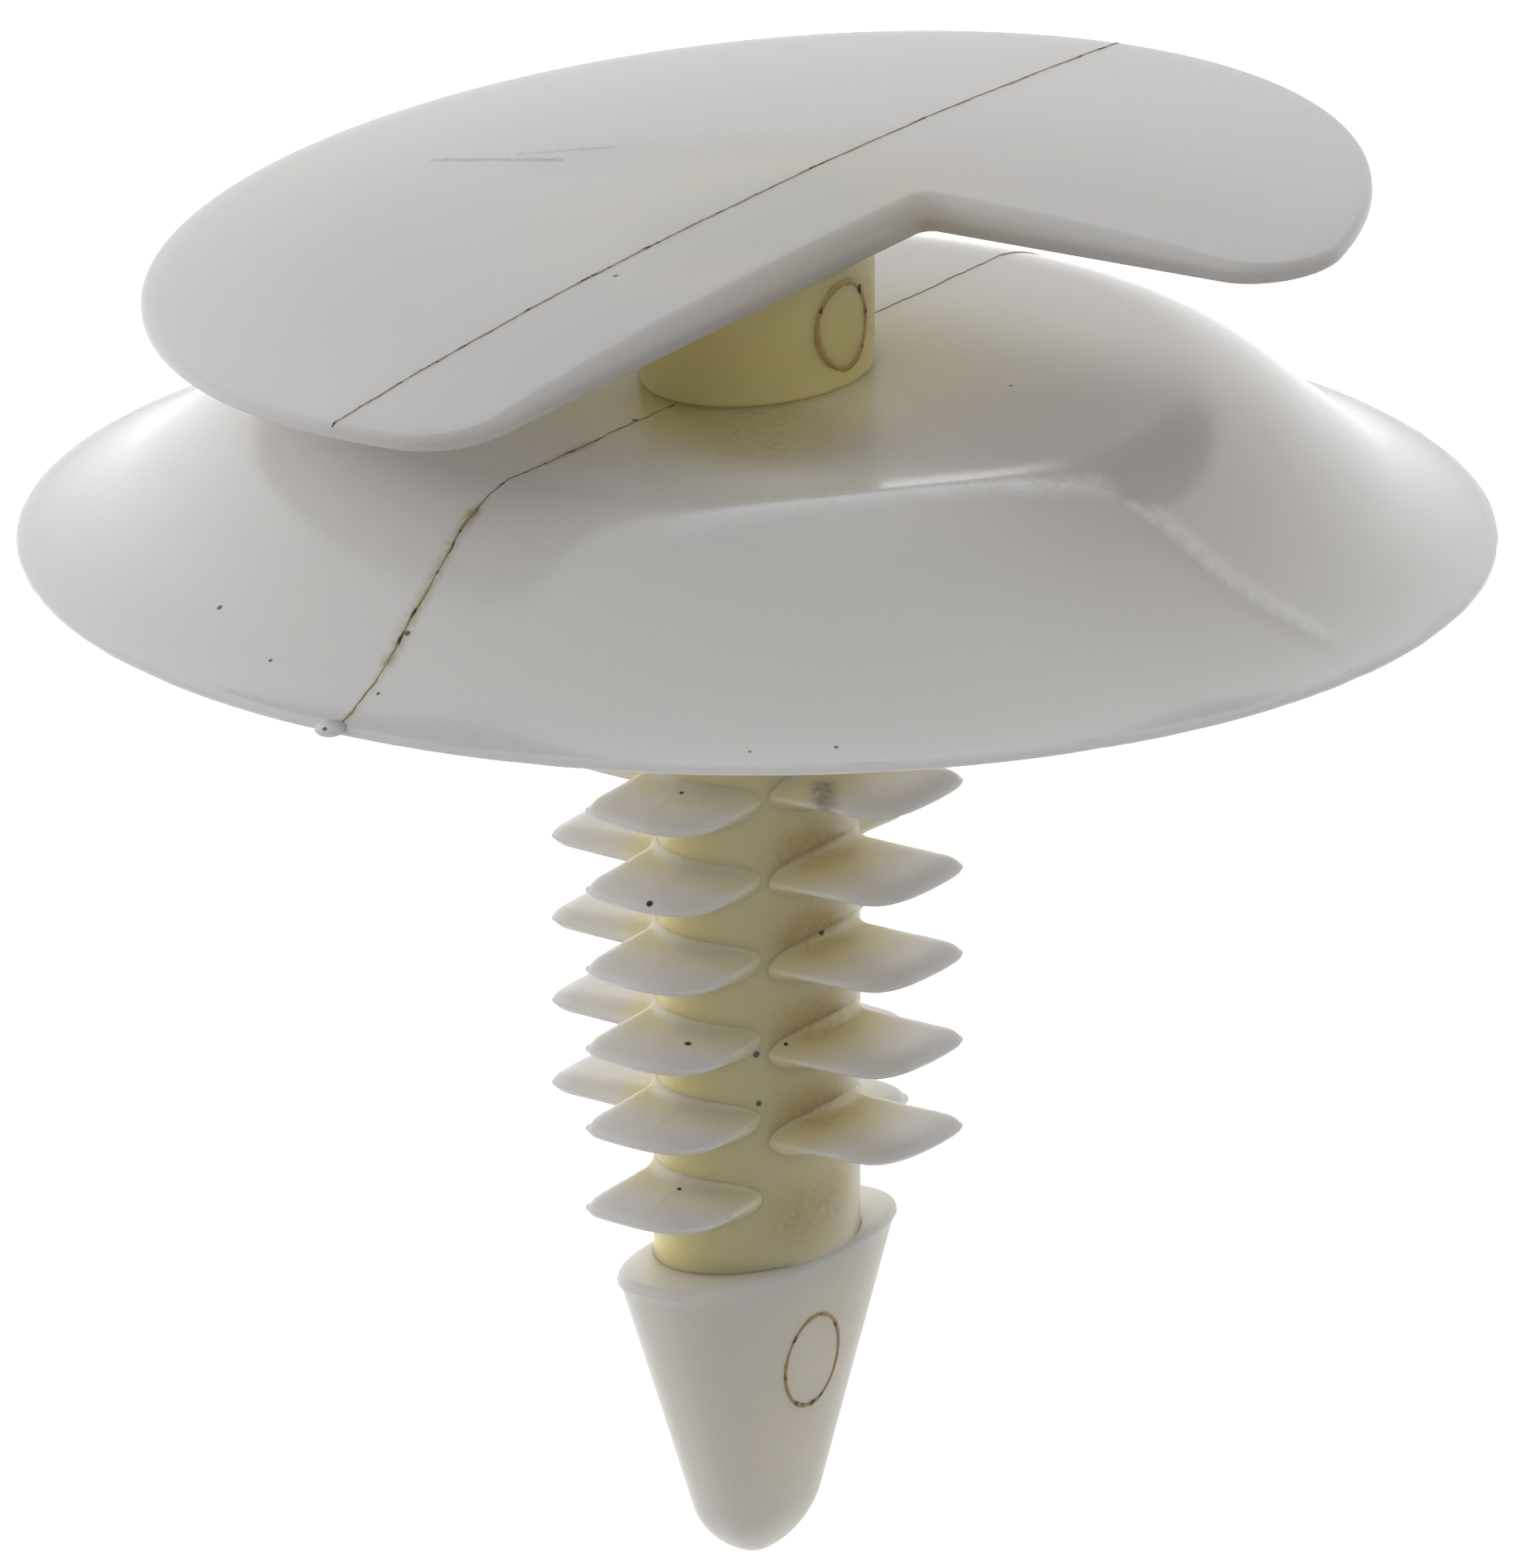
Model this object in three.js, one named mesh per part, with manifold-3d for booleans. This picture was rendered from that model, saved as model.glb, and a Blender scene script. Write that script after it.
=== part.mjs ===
// Push-in trim retainer: a notched head on a short neck, a flexible umbrella, and a stem with
// four columns of flexible fins above a tapered lead-in tip. One nylon moulding in real life;
// here every functional region is its own solid, touching its neighbours face to face.
//
// Frame, millimetres: +Z runs up the stem towards the head, with z = 0 at the plane of the
// umbrella's rim. The mould halves open along X, so the parting plane is x = 0. The back of the
// head is towards +Y, and the L-shaped notch of the head opens towards +X and -Y.
import * as THREE from 'three';
import { mergeVertices } from 'three/addons/utils/BufferGeometryUtils.js';
import Module from 'manifold-3d';

// ---------------------------------------------------------------- driving dimensions (mm)
const HEAD_RADIUS = 10.42;
const HEAD_RIM_THICKNESS = 0.3;
const HEAD_CROWN_RISE = 0.43;
const HEAD_UNDERSIDE_Z = 5.11;      // on the stem axis
const HEAD_LEAN = 5.86;             // degrees that the plate leans from square to the stem
const HEAD_LEAN_TOWARDS = 42.8;     // plan direction in which the leaning plate rises, degrees
const HEAD_TWIST = -5.6;            // degrees about the stem axis
const NOTCH_X = 2.05;               // notch edge beside the neck
const NOTCH_Y = 2.0;                // notch edge behind the neck
const NOTCH_FILLET = 1.3;           // where the notch edges meet the round rim

const NECK_HALF = { x: 1.8, y: 2.32 };
const CROWN_TOP_Z = 3.08;
const CROWN_RADIUS = 8.0;           // the crown ends and the skirt starts here
const CROWN_THICKNESS = 0.62;
const SEAT_INNER_RADIUS = 2.7;      // inside this the crown belongs to the neck

const RIM_RADIUS = 12.5;
const RIM_SPLIT_RADIUS = 10.4;      // outside this the skirt moves as the rim
const RIM_EDGE = 0.14;              // thickness at the free edge
const RIM_LAND = 0.2;               // width of the flat land under it
const SLIDE_GAP = 0.02;
const GATE_NUB_RADIUS = 0.34;

const CORE_HALF = { x: 1.47, y: 2.23 };
const LEDGE_Z = -12.4;

const FIN_EDGE = 0.36;              // thickness at the free edge
const ROOT_GAP = 0.02;

const TIP_HALF = { x: 1.45, y: 3.36 };
const TIP_TAPER = { x: 0.144, y: 0.418 };   // loss of half width per mm of height
const TIP_SQUARENESS = 2.6;         // exponent of the section: 2 is an ellipse
const TIP_END_Z = -18.0;
const TIP_ROUND_HEIGHT = 0.95;

// Each column of fins points one way and has its own reach, start and pitch. The fins that lie
// across the parting plane are fuller in one half of the mould than in the other.
const FULL_SIDE = { half: 1.34, corner: 0.3 };
const SPARE_SIDE = { half: 1.12, corner: 0.8 };
const SQUARE_SIDE = { half: 1.38, corner: 0.42 };
const FIN_COLUMNS = [
  { name: 'front', turn: -90, count: 6, first: -4.157, pitch: 1.415, reach: 3.47,
    rootHalf: 1.1, low: FULL_SIDE, high: SPARE_SIDE, topSlope: 10, bottomSlope: 3 },
  { name: 'back', turn: 90, count: 6, first: -4.157, pitch: 1.3, reach: 3.47,
    rootHalf: 1.1, low: SPARE_SIDE, high: FULL_SIDE, topSlope: 10, bottomSlope: 3 },
  { name: 'right', turn: 0, count: 5, first: -3.957, pitch: 1.5375, reach: 3.55,
    rootHalf: 1.36, low: SQUARE_SIDE, high: SQUARE_SIDE, topSlope: 1, bottomSlope: 2 },
  { name: 'left', turn: 180, count: 5, first: -4.085, pitch: 1.47, reach: 3.55,
    rootHalf: 1.36, low: SQUARE_SIDE, high: SQUARE_SIDE, topSlope: 1, bottomSlope: 2 },
];
const FIN_EDGE_RADIUS = 6.0;        // plan radius of a fin's free edge

const RADIANS = Math.PI / 180;
const ROUND_STEPS = 64;

const wasm = await Module();
wasm.setup();

// ---------------------------------------------------------------- materials
function nylon(name, colour, roughness) {
  const material = new THREE.MeshStandardMaterial({ color: colour, roughness, metalness: 0 });
  material.name = name;
  return material;
}

const natural = () => nylon('nylon_natural', 0xc9c7c4, 0.42);
const natural_thick = () => nylon('nylon_thick', 0xcfc38e, 0.45);
const natural_thin = () => nylon('nylon_thin', 0xdedcd4, 0.4);

// ---------------------------------------------------------------- helpers
function toSolid(geometry) {
  const bare = geometry.clone();
  bare.deleteAttribute('normal');
  bare.deleteAttribute('uv');
  const merged = mergeVertices(bare, 1e-5);
  return new wasm.Manifold(new wasm.Mesh({
    numProp: 3,
    vertProperties: new Float32Array(merged.attributes.position.array),
    triVerts: new Uint32Array(merged.index.array),
  }));
}

function toGeometry(solid) {
  const mesh = solid.getMesh();
  const geometry = new THREE.BufferGeometry();
  geometry.setAttribute('position', new THREE.BufferAttribute(mesh.vertProperties, 3));
  geometry.setIndex(new THREE.BufferAttribute(mesh.triVerts, 1));
  geometry.computeVertexNormals();
  return geometry;
}

function named(name, geometry, material) {
  const mesh = new THREE.Mesh(geometry, material);
  mesh.name = name;
  return mesh;
}

// A lathe about Z from [radius, height] pairs that run counter-clockwise in the r-z plane.
function turned(profile, steps = ROUND_STEPS) {
  const points = profile.map(([r, z]) => new THREE.Vector2(r, z));
  const geometry = new THREE.LatheGeometry(points, steps);
  return geometry.rotateX(Math.PI / 2);
}

function moveVertices(geometry, move) {
  const position = geometry.attributes.position;
  const point = new THREE.Vector3();
  for (let i = 0; i < position.count; i += 1) {
    point.fromBufferAttribute(position, i);
    move(point);
    position.setXYZ(i, point.x, point.y, point.z);
  }
  geometry.computeVertexNormals();
  return geometry;
}

// ---------------------------------------------------------------- head
const headLeanAxis = new THREE.Vector3(
  Math.sin(HEAD_LEAN_TOWARDS * RADIANS), -Math.cos(HEAD_LEAN_TOWARDS * RADIANS), 0);
const headTurn = new THREE.Quaternion()
  .setFromAxisAngle(headLeanAxis, HEAD_LEAN * RADIANS)
  .multiply(new THREE.Quaternion().setFromAxisAngle(
    new THREE.Vector3(0, 0, 1), HEAD_TWIST * RADIANS));

// Height of the head's flat underside above a point of the plan.
function headUndersideZ(x, y) {
  const rise = Math.tan(HEAD_LEAN * RADIANS);
  return HEAD_UNDERSIDE_Z
    + rise * (x * Math.cos(HEAD_LEAN_TOWARDS * RADIANS) + y * Math.sin(HEAD_LEAN_TOWARDS * RADIANS));
}

function headOutline() {
  const inner = HEAD_RADIUS - NOTCH_FILLET;
  const front = { x: NOTCH_X - NOTCH_FILLET };
  front.y = -Math.sqrt(inner ** 2 - front.x ** 2);
  const side = { y: NOTCH_Y + NOTCH_FILLET };
  side.x = Math.sqrt(inner ** 2 - side.y ** 2);
  const frontAngle = Math.atan2(front.y, front.x);
  const sideAngle = Math.atan2(side.y, side.x);
  const outline = new THREE.Shape();
  outline.moveTo(NOTCH_X, NOTCH_Y);
  outline.lineTo(NOTCH_X, front.y);
  outline.absarc(front.x, front.y, NOTCH_FILLET, 0, frontAngle, true);
  outline.absarc(0, 0, HEAD_RADIUS, frontAngle, sideAngle, true);
  outline.absarc(side.x, side.y, NOTCH_FILLET, sideAngle, -Math.PI / 2, true);
  outline.closePath();
  return outline;
}

function headPlate() {
  const edge = 0.09;
  const rings = 5;
  const profile = [[0, 0], [HEAD_RADIUS - edge, 0], [HEAD_RADIUS, edge],
    [HEAD_RADIUS, HEAD_RIM_THICKNESS - edge]];
  for (let i = 0; i <= rings; i += 1) {
    const r = (HEAD_RADIUS - edge) * (1 - i / rings);
    const rise = 1 - (r / (HEAD_RADIUS - edge)) ** 2;
    profile.push([r, HEAD_RIM_THICKNESS + HEAD_CROWN_RISE * rise]);
  }
  const plate = toSolid(turned(profile, 80));
  const height = 4;
  const cutter = new THREE.ExtrudeGeometry(headOutline(), {
    depth: height, bevelEnabled: false, curveSegments: 48 });
  cutter.translate(0, 0, -height / 2);
  const mesh = named('head_plate', toGeometry(plate.intersect(toSolid(cutter))), natural());
  mesh.position.set(0, 0, HEAD_UNDERSIDE_Z);
  mesh.quaternion.copy(headTurn);
  return mesh;
}

// ---------------------------------------------------------------- neck and stem core
function ovalPrism(half, bottom, topAt) {
  const outline = new THREE.Shape();
  outline.absellipse(0, 0, half.x, half.y, 0, 2 * Math.PI, false);
  const geometry = new THREE.ExtrudeGeometry(outline, {
    depth: 1, bevelEnabled: false, curveSegments: 24 });
  return moveVertices(geometry, (point) => {
    point.z = point.z > 0.5 ? topAt(point.x, point.y) : bottom;
  });
}

function neck() {
  return named('neck', ovalPrism(NECK_HALF, CROWN_TOP_Z, headUndersideZ), natural_thick());
}

function stemCore() {
  const top = CROWN_TOP_Z - CROWN_THICKNESS;
  return named('stem_core', ovalPrism(CORE_HALF, LEDGE_Z, () => top), natural_thick());
}

// ---------------------------------------------------------------- umbrella
const SHOULDER_START = 7.2;
const SHOULDER_END = 9.2;
const SKIRT_MIDDLE = { r: 10.9, z: 0.86 };
const SKIRT_SHOULDER_Z = 2.28;

// Outer surface of the umbrella: a flat crown, a rounded shoulder, a cone and a flared edge.
function umbrellaTopZ(r) {
  if (r <= SHOULDER_START) {
    return CROWN_TOP_Z;
  }
  if (r <= SHOULDER_END) {
    const t = (r - SHOULDER_START) / (SHOULDER_END - SHOULDER_START);
    return CROWN_TOP_Z - (CROWN_TOP_Z - SKIRT_SHOULDER_Z) * t ** 2;
  }
  if (r <= SKIRT_MIDDLE.r) {
    const t = (r - SHOULDER_END) / (SKIRT_MIDDLE.r - SHOULDER_END);
    return SKIRT_SHOULDER_Z + (SKIRT_MIDDLE.z - SKIRT_SHOULDER_Z) * t;
  }
  const t = (RIM_RADIUS - r) / (RIM_RADIUS - SKIRT_MIDDLE.r);
  return RIM_EDGE + (SKIRT_MIDDLE.z - RIM_EDGE) * t ** 1.55;
}

// Vertical thickness: full in the crown, thinning to the free edge.
function umbrellaThickness(r) {
  const t = Math.max(0, (r - SHOULDER_START) / (RIM_RADIUS - SHOULDER_START));
  return CROWN_THICKNESS + (RIM_EDGE - CROWN_THICKNESS) * t;
}

function umbrellaRing(inner, outer, steps) {
  const upper = [];
  const lower = [];
  for (let i = 0; i <= steps; i += 1) {
    const r = inner + (outer - inner) * i / steps;
    upper.push([r, umbrellaTopZ(r)]);
    lower.push([r, umbrellaTopZ(r) - umbrellaThickness(r)]);
  }
  return [...lower, ...upper.reverse()];
}

// The crown's top has an edge loop around the neck, so that its outer band is a seat of its own.
function umbrellaCrown() {
  const profile = [[0, CROWN_TOP_Z - CROWN_THICKNESS],
    ...umbrellaRing(SHOULDER_START, CROWN_RADIUS, 2), [SEAT_INNER_RADIUS, CROWN_TOP_Z],
    [0, CROWN_TOP_Z]];
  return named('umbrella_crown', turned(profile), natural());
}

function closedRing(inner, outer, steps) {
  const profile = umbrellaRing(inner, outer, steps);
  return [...profile, profile[0]];
}

function umbrellaSkirt() {
  const profile = closedRing(CROWN_RADIUS, RIM_SPLIT_RADIUS, 5);
  return named('umbrella_skirt', turned(profile), natural_thin());
}

// The free edge ends in a narrow flat land that rests on the sheet.
function umbrellaRim() {
  const profile = closedRing(RIM_SPLIT_RADIUS + SLIDE_GAP, RIM_RADIUS, 6);
  profile.splice(6, 0, [RIM_RADIUS - RIM_LAND, 0]);
  const ring = toSolid(turned(profile));
  const nub = new THREE.SphereGeometry(GATE_NUB_RADIUS, 12, 8);
  nub.scale(0.8, 1, 0.4);
  nub.translate(0, -RIM_RADIUS - 0.1, RIM_EDGE);
  return named('umbrella_rim', toGeometry(ring.add(toSolid(nub))), natural_thin());
}

// ---------------------------------------------------------------- fins
// Where the rounded corner at one side of a fin meets the arc of its free edge.
function finCorner(side, centreX) {
  const { half, corner } = side;
  const inner = FIN_EDGE_RADIUS - corner;
  const y = half - corner;
  const x = centreX + Math.sqrt(inner ** 2 - y ** 2);
  return { x, y, angle: Math.atan2(y, x - centreX) };
}

// Plan outline of a fin that points along +X, from its curved root on the core to its free edge.
function finOutline(column, coreAlong, coreAcross) {
  const { reach, rootHalf, low, high } = column;
  const centreX = reach - FIN_EDGE_RADIUS;
  const lowAt = finCorner(low, centreX);
  const highAt = finCorner(high, centreX);
  const a = coreAlong + ROOT_GAP;
  const b = coreAcross + ROOT_GAP;
  const rootAngle = Math.asin(rootHalf / b);
  const outline = new THREE.Shape();
  outline.moveTo(a * Math.cos(rootAngle), -rootHalf);
  outline.lineTo(lowAt.x, -low.half);
  outline.absarc(lowAt.x, -lowAt.y, low.corner, -Math.PI / 2, -lowAt.angle, false);
  outline.absarc(centreX, 0, FIN_EDGE_RADIUS, -lowAt.angle, highAt.angle, false);
  outline.absarc(highAt.x, highAt.y, high.corner, highAt.angle, Math.PI / 2, false);
  outline.lineTo(a * Math.cos(rootAngle), rootHalf);
  outline.absellipse(0, 0, a, b, rootAngle, -rootAngle, true);
  return outline;
}

function fin(column, index) {
  const turn = column.turn * RADIANS;
  const alongX = Math.abs(Math.cos(turn)) > 0.5;
  const coreAlong = alongX ? CORE_HALF.x : CORE_HALF.y;
  const coreAcross = alongX ? CORE_HALF.y : CORE_HALF.x;
  const outline = finOutline(column, coreAlong, coreAcross);
  const geometry = new THREE.ExtrudeGeometry(outline, {
    depth: 1, bevelEnabled: false, curveSegments: 6 });
  const topRise = Math.tan(column.topSlope * RADIANS);
  const bottomDrop = Math.tan(column.bottomSlope * RADIANS);
  moveVertices(geometry, (point) => {
    const inwards = column.reach - point.x;
    point.z = point.z > 0.5
      ? FIN_EDGE / 2 + topRise * inwards
      : -FIN_EDGE / 2 - bottomDrop * inwards;
  });
  const mesh = named(`fin_${column.name}_${index + 1}`, geometry, natural_thin());
  mesh.rotation.z = turn;
  mesh.position.z = column.first - column.pitch * index;
  return mesh;
}

// ---------------------------------------------------------------- lead-in tip
function tip() {
  const height = LEDGE_Z - TIP_END_Z;
  const rounded = height - TIP_ROUND_HEIGHT;
  const depths = [0, 0.12, height * 0.3, height * 0.55, rounded];
  const roundSteps = 5;
  for (let i = 1; i <= roundSteps; i += 1) {
    depths.push(rounded + TIP_ROUND_HEIGHT * Math.sin(0.5 * Math.PI * i / roundSteps));
  }
  const scaleAt = (depth) => {
    const past = Math.max(0, depth - rounded) / TIP_ROUND_HEIGHT;
    const edge = depth === 0 ? 0.96 : 1;
    return edge * Math.sqrt(Math.max(0, 1 - past ** 2));
  };
  const profile = depths.map((depth) => [scaleAt(depth), -depth]).reverse();
  profile[0][0] = 0;
  profile.push([0, 0]);
  const geometry = moveVertices(turned(profile, 48), (point) => {
    const angle = Math.atan2(point.y, point.x);
    const radius = Math.hypot(point.x, point.y);
    const square = (Math.abs(Math.cos(angle)) ** TIP_SQUARENESS
      + Math.abs(Math.sin(angle)) ** TIP_SQUARENESS) ** (-1 / TIP_SQUARENESS);
    point.x = radius * square * Math.cos(angle) * (TIP_HALF.x + TIP_TAPER.x * point.z);
    point.y = radius * square * Math.sin(angle) * (TIP_HALF.y + TIP_TAPER.y * point.z);
    point.z += LEDGE_Z;
  });
  return named('tip', geometry, natural());
}

// ---------------------------------------------------------------- assembly
const group = new THREE.Group();
group.add(headPlate(), neck(), umbrellaCrown(), umbrellaSkirt(), umbrellaRim(), stemCore(), tip());
for (const column of FIN_COLUMNS) {
  for (let index = 0; index < column.count; index += 1) {
    group.add(fin(column, index));
  }
}

export default group;
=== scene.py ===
import math

import bmesh
import bpy
import numpy as np
from mathutils import Matrix, Vector

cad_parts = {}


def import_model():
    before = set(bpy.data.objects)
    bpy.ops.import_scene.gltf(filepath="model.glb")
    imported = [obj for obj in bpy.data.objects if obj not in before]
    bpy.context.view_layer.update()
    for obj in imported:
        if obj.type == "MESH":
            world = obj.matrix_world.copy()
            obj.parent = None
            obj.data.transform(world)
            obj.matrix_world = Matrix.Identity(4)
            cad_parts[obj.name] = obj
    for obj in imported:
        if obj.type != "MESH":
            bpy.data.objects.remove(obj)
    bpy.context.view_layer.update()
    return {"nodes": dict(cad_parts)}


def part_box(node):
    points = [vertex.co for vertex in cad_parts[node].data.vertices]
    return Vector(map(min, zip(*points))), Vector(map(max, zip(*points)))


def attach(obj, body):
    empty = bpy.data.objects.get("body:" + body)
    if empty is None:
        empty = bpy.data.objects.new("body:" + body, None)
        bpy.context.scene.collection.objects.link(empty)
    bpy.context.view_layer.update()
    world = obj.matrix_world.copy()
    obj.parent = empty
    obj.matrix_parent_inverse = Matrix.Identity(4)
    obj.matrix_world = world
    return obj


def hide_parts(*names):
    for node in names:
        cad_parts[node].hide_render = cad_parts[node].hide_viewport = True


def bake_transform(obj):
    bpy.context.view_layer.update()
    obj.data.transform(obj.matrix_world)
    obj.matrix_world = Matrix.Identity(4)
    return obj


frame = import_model()

# A push-in trim retainer in natural nylon: notched head, neck, umbrella, finned stem and tip.
# Shapes are worked out in millimetres, in the frame of the CAD model, and scaled on the way out.
MM = 0.001
SCENE = bpy.context.scene


def cad_range(node):
    """Lowest and highest corner of a CAD node, in millimetres."""
    low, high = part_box(node)
    return np.array(low) / MM, np.array(high) / MM


def cad_top(node):
    """Highest corner of a CAD node, in millimetres."""
    return cad_range(node)[1]


# ---------------------------------------------------------------- sizes, mm
HEAD_RADIUS = 10.42
HEAD_RIM_THICKNESS = 0.3
HEAD_CROWN_RISE = 0.43
HEAD_UNDERSIDE_Z = 5.11
HEAD_LEAN = math.radians(5.86)
HEAD_RISES_TOWARDS = math.radians(42.8)
HEAD_TWIST = math.radians(-5.6)
NOTCH_X = 2.05
NOTCH_Y = 2.0
NOTCH_FILLET = 1.3
NOTCH_CORNER = 0.22
HEAD_SEAM_X = -0.58                 # the parting line on the head, in the head's own frame
HEAD_HEART = np.array([-1.6, 3.8])  # the middle that the rings of the head close on
HEAD_LOW_ROUND = 0.1                # radius of the lower edge
HEAD_TOP_ROUND = 0.24               # largest radius of the upper edge
HEAD_CLEARANCE = 0.015              # how far the top stays below the CAD plate's

CROWN_TOP_Z = cad_top("umbrella_crown")[2]
CROWN_THICKNESS = CROWN_TOP_Z - cad_top("stem_core")[2]
RIM_RADIUS = cad_top("umbrella_rim")[0]
RIM_EDGE = 0.14                     # thickness of the free edge
RIM_ROUND = 0.06
SHOULDER_START = 7.2
SHOULDER_END = 9.2
SHOULDER_Z = 2.28
SKIRT_MIDDLE_R = 10.9
SKIRT_MIDDLE_Z = 0.86
# Creases pressed into the umbrella below the head's notch: start, end, height, half width.
CREASES = [((3.3, -7.7), (8.3, -1.2), 0.1, 0.6), ((8.5, -1.5), (10.3, -0.9), 0.12, 0.26),
           ((10.2, -0.95), (11.6, -0.05), 0.1, 0.24)]

CORE_TOP_Z = cad_top("stem_core")[2]
CORE_HALF = cad_top("stem_core")[:2]
CORE_FILLET = 0.35                  # where the core meets the umbrella
NECK_HALF = cad_top("neck")[:2]
NECK_FILLET = 0.06                  # where the neck meets the head
OVERLAP = 0.02                      # how deep a region reaches into its neighbour
LEDGE_Z = cad_top("tip")[2]
TIP_END_Z = cad_range("tip")[0][2]
TIP_HALF = cad_top("tip")[:2]
TIP_TAPER = np.array([0.144, 0.418])    # half width lost per mm downwards, in x and y
TIP_SQUARENESS = 2.6                # exponent of the section: 2 is an ellipse
TIP_ROUND_HEIGHT = 0.95
TIP_EDGE_ROUND = 0.16

FIN_EDGE = 0.36                     # thickness at the free edge
FIN_EDGE_RADIUS = 6.0               # plan radius of the free edge
FIN_EDGE_ROUND = 0.45               # how far in from the free edge a fin thins out
FIN_FILLET = 0.2
FIN_ROOT_DEPTH = 0.03               # how deep a fin reaches into the core
LEAST_SHARE = 0.03                  # share of its thickness that a fin keeps at its very edge
# Each side of a fin: half width, radius of its corner, width over which it thins out.
FULL_SIDE = (1.34, 0.3, 0.35)
SPARE_SIDE = (1.12, 0.8, 1.5)
SQUARE_SIDE = (1.38, 0.42, 0.5)
LEAF_SIDE = (1.38, 0.42, 1.3)
# Each column: turn, half width at the root, low side, high side, top slope, bottom slope.
FIN_COLUMNS = {
    "front": (-90, 1.1, FULL_SIDE, SPARE_SIDE, 10, 3),
    "back": (90, 1.1, SPARE_SIDE, FULL_SIDE, 10, 3),
    "right": (0, 1.36, LEAF_SIDE, SQUARE_SIDE, 1, 2),
    "left": (180, 1.36, LEAF_SIDE, SQUARE_SIDE, 1, 2),
}
COLUMNS_ALONG_X = ("right", "left")

FLASH_HEIGHT = 0.012
FLASH_SINK = 0.03                   # how deep the root of a ridge of flash lies


# ---------------------------------------------------------------- mesh helpers
def add_piece(name, points, faces, material):
    """A smooth mesh from points in mm. Its attribute "place" keeps each point's place on the
    unbent part, in mm, so that the materials stay put when the part flexes."""
    points = np.asarray(points, float)
    mesh = bpy.data.meshes.new(name)
    mesh.from_pydata((points * MM).tolist(), [], faces)
    place = mesh.attributes.new("place", "FLOAT_VECTOR", "POINT")
    place.data.foreach_set("vector", points.astype(np.float32).ravel())
    shaped = bmesh.new()
    shaped.from_mesh(mesh)
    bmesh.ops.recalc_face_normals(shaped, faces=shaped.faces)
    shaped.to_mesh(mesh)
    shaped.free()
    mesh.shade_smooth()
    mesh.materials.append(material)
    piece = bpy.data.objects.new(name, mesh)
    SCENE.collection.objects.link(piece)
    return piece


def loft(rings, start, end):
    """Points and faces of a skin over closed rings, each end drawn together in a point."""
    count = len(rings[0])
    points = [tuple(p) for ring in rings for p in ring]
    faces = []
    for k in range(len(rings) - 1):
        for i in range(count):
            j = (i + 1) % count
            faces.append((k * count + i, k * count + j, (k + 1) * count + j, (k + 1) * count + i))
    for ring, apex in ((0, start), (len(rings) - 1, end)):
        points.append(tuple(apex))
        tip = len(points) - 1
        for i in range(count):
            faces.append((ring * count + i, ring * count + (i + 1) % count, tip))
    return points, faces


def arc(centre, radius, start, stop, step=0.12):
    """Points on a plan arc, from the angle start to the angle stop, about step apart."""
    count = max(3, int(abs(stop - start) * radius / step))
    angles = np.linspace(start, stop, count + 1)
    return np.stack([centre[0] + radius * np.cos(angles), centre[1] + radius * np.sin(angles)], 1)


def line(start, stop, step=0.12):
    """Points on a straight line, about step apart."""
    count = max(2, int(math.dist(start, stop) / step))
    t = np.linspace(0, 1, count + 1)[:, None]
    return np.array(start) * (1 - t) + np.array(stop) * t


def wander(values, seed, size=1.0):
    """A smooth irregular function of a length: a few sines with seeded phases."""
    chance = np.random.default_rng(seed)
    total = np.zeros_like(values, dtype=float)
    for rate in (0.9, 2.1, 4.3, 9.7):
        total += np.sin(values * rate * size + chance.uniform(0, 2 * math.pi)) / (1 + rate) ** 0.5
    return total / 2


def bead(name, path, normals, half_width, height, sink, material):
    """A fine ridge of flash along path, standing proud of the surface that has those normals."""
    path = np.asarray(path, float)
    normals = np.asarray(normals, float)
    along = np.gradient(path, axis=0)
    along /= np.linalg.norm(along, axis=1)[:, None]
    across = np.cross(along, normals)
    across /= np.linalg.norm(across, axis=1)[:, None]
    width = np.broadcast_to(half_width, len(path))[:, None]
    proud = np.broadcast_to(height, len(path))[:, None]
    section = [(-1.0, -sink, 0.0), (-0.75, 0.0, 0.45), (0.0, 0.0, 1.0), (0.75, 0.0, 0.45),
               (1.0, -sink, 0.0)]
    rails = [path + across * width * side + normals * (down + proud * up)
             for side, down, up in section]
    rings = [[rail[i] for rail in rails] for i in range(len(path))]
    points, faces = loft(rings, path[0] - normals[0] * sink, path[-1] - normals[-1] * sink)
    return add_piece(name, points, faces, material)


# ---------------------------------------------------------------- materials
def node_of(tree, kind, **values):
    """A new shader node with some of its properties set."""
    node = tree.nodes.new(kind)
    for key, value in values.items():
        setattr(node, key, value)
    return node


def math_node(tree, operation, first, second=0.0, third=None, clamp=False):
    """The result of an operation on numbers or sockets."""
    node = node_of(tree, "ShaderNodeMath", operation=operation, use_clamp=clamp)
    for socket, value in zip(node.inputs, (first, second, third)):
        if value is None:
            continue
        if isinstance(value, (int, float)):
            socket.default_value = value
        else:
            tree.links.new(value, socket)
    return node.outputs[0]


def fade(tree, value, start, stop):
    """1 at start and before, 0 at stop and beyond, smooth between."""
    node = node_of(tree, "ShaderNodeMapRange", interpolation_type="SMOOTHSTEP")
    tree.links.new(value, node.inputs["Value"])
    low, high = min(start, stop), max(start, stop)
    node.inputs["From Min"].default_value = low
    node.inputs["From Max"].default_value = high
    node.inputs["To Min"].default_value = 1.0 if start < stop else 0.0
    node.inputs["To Max"].default_value = 0.0 if start < stop else 1.0
    return node.outputs["Result"]


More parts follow.
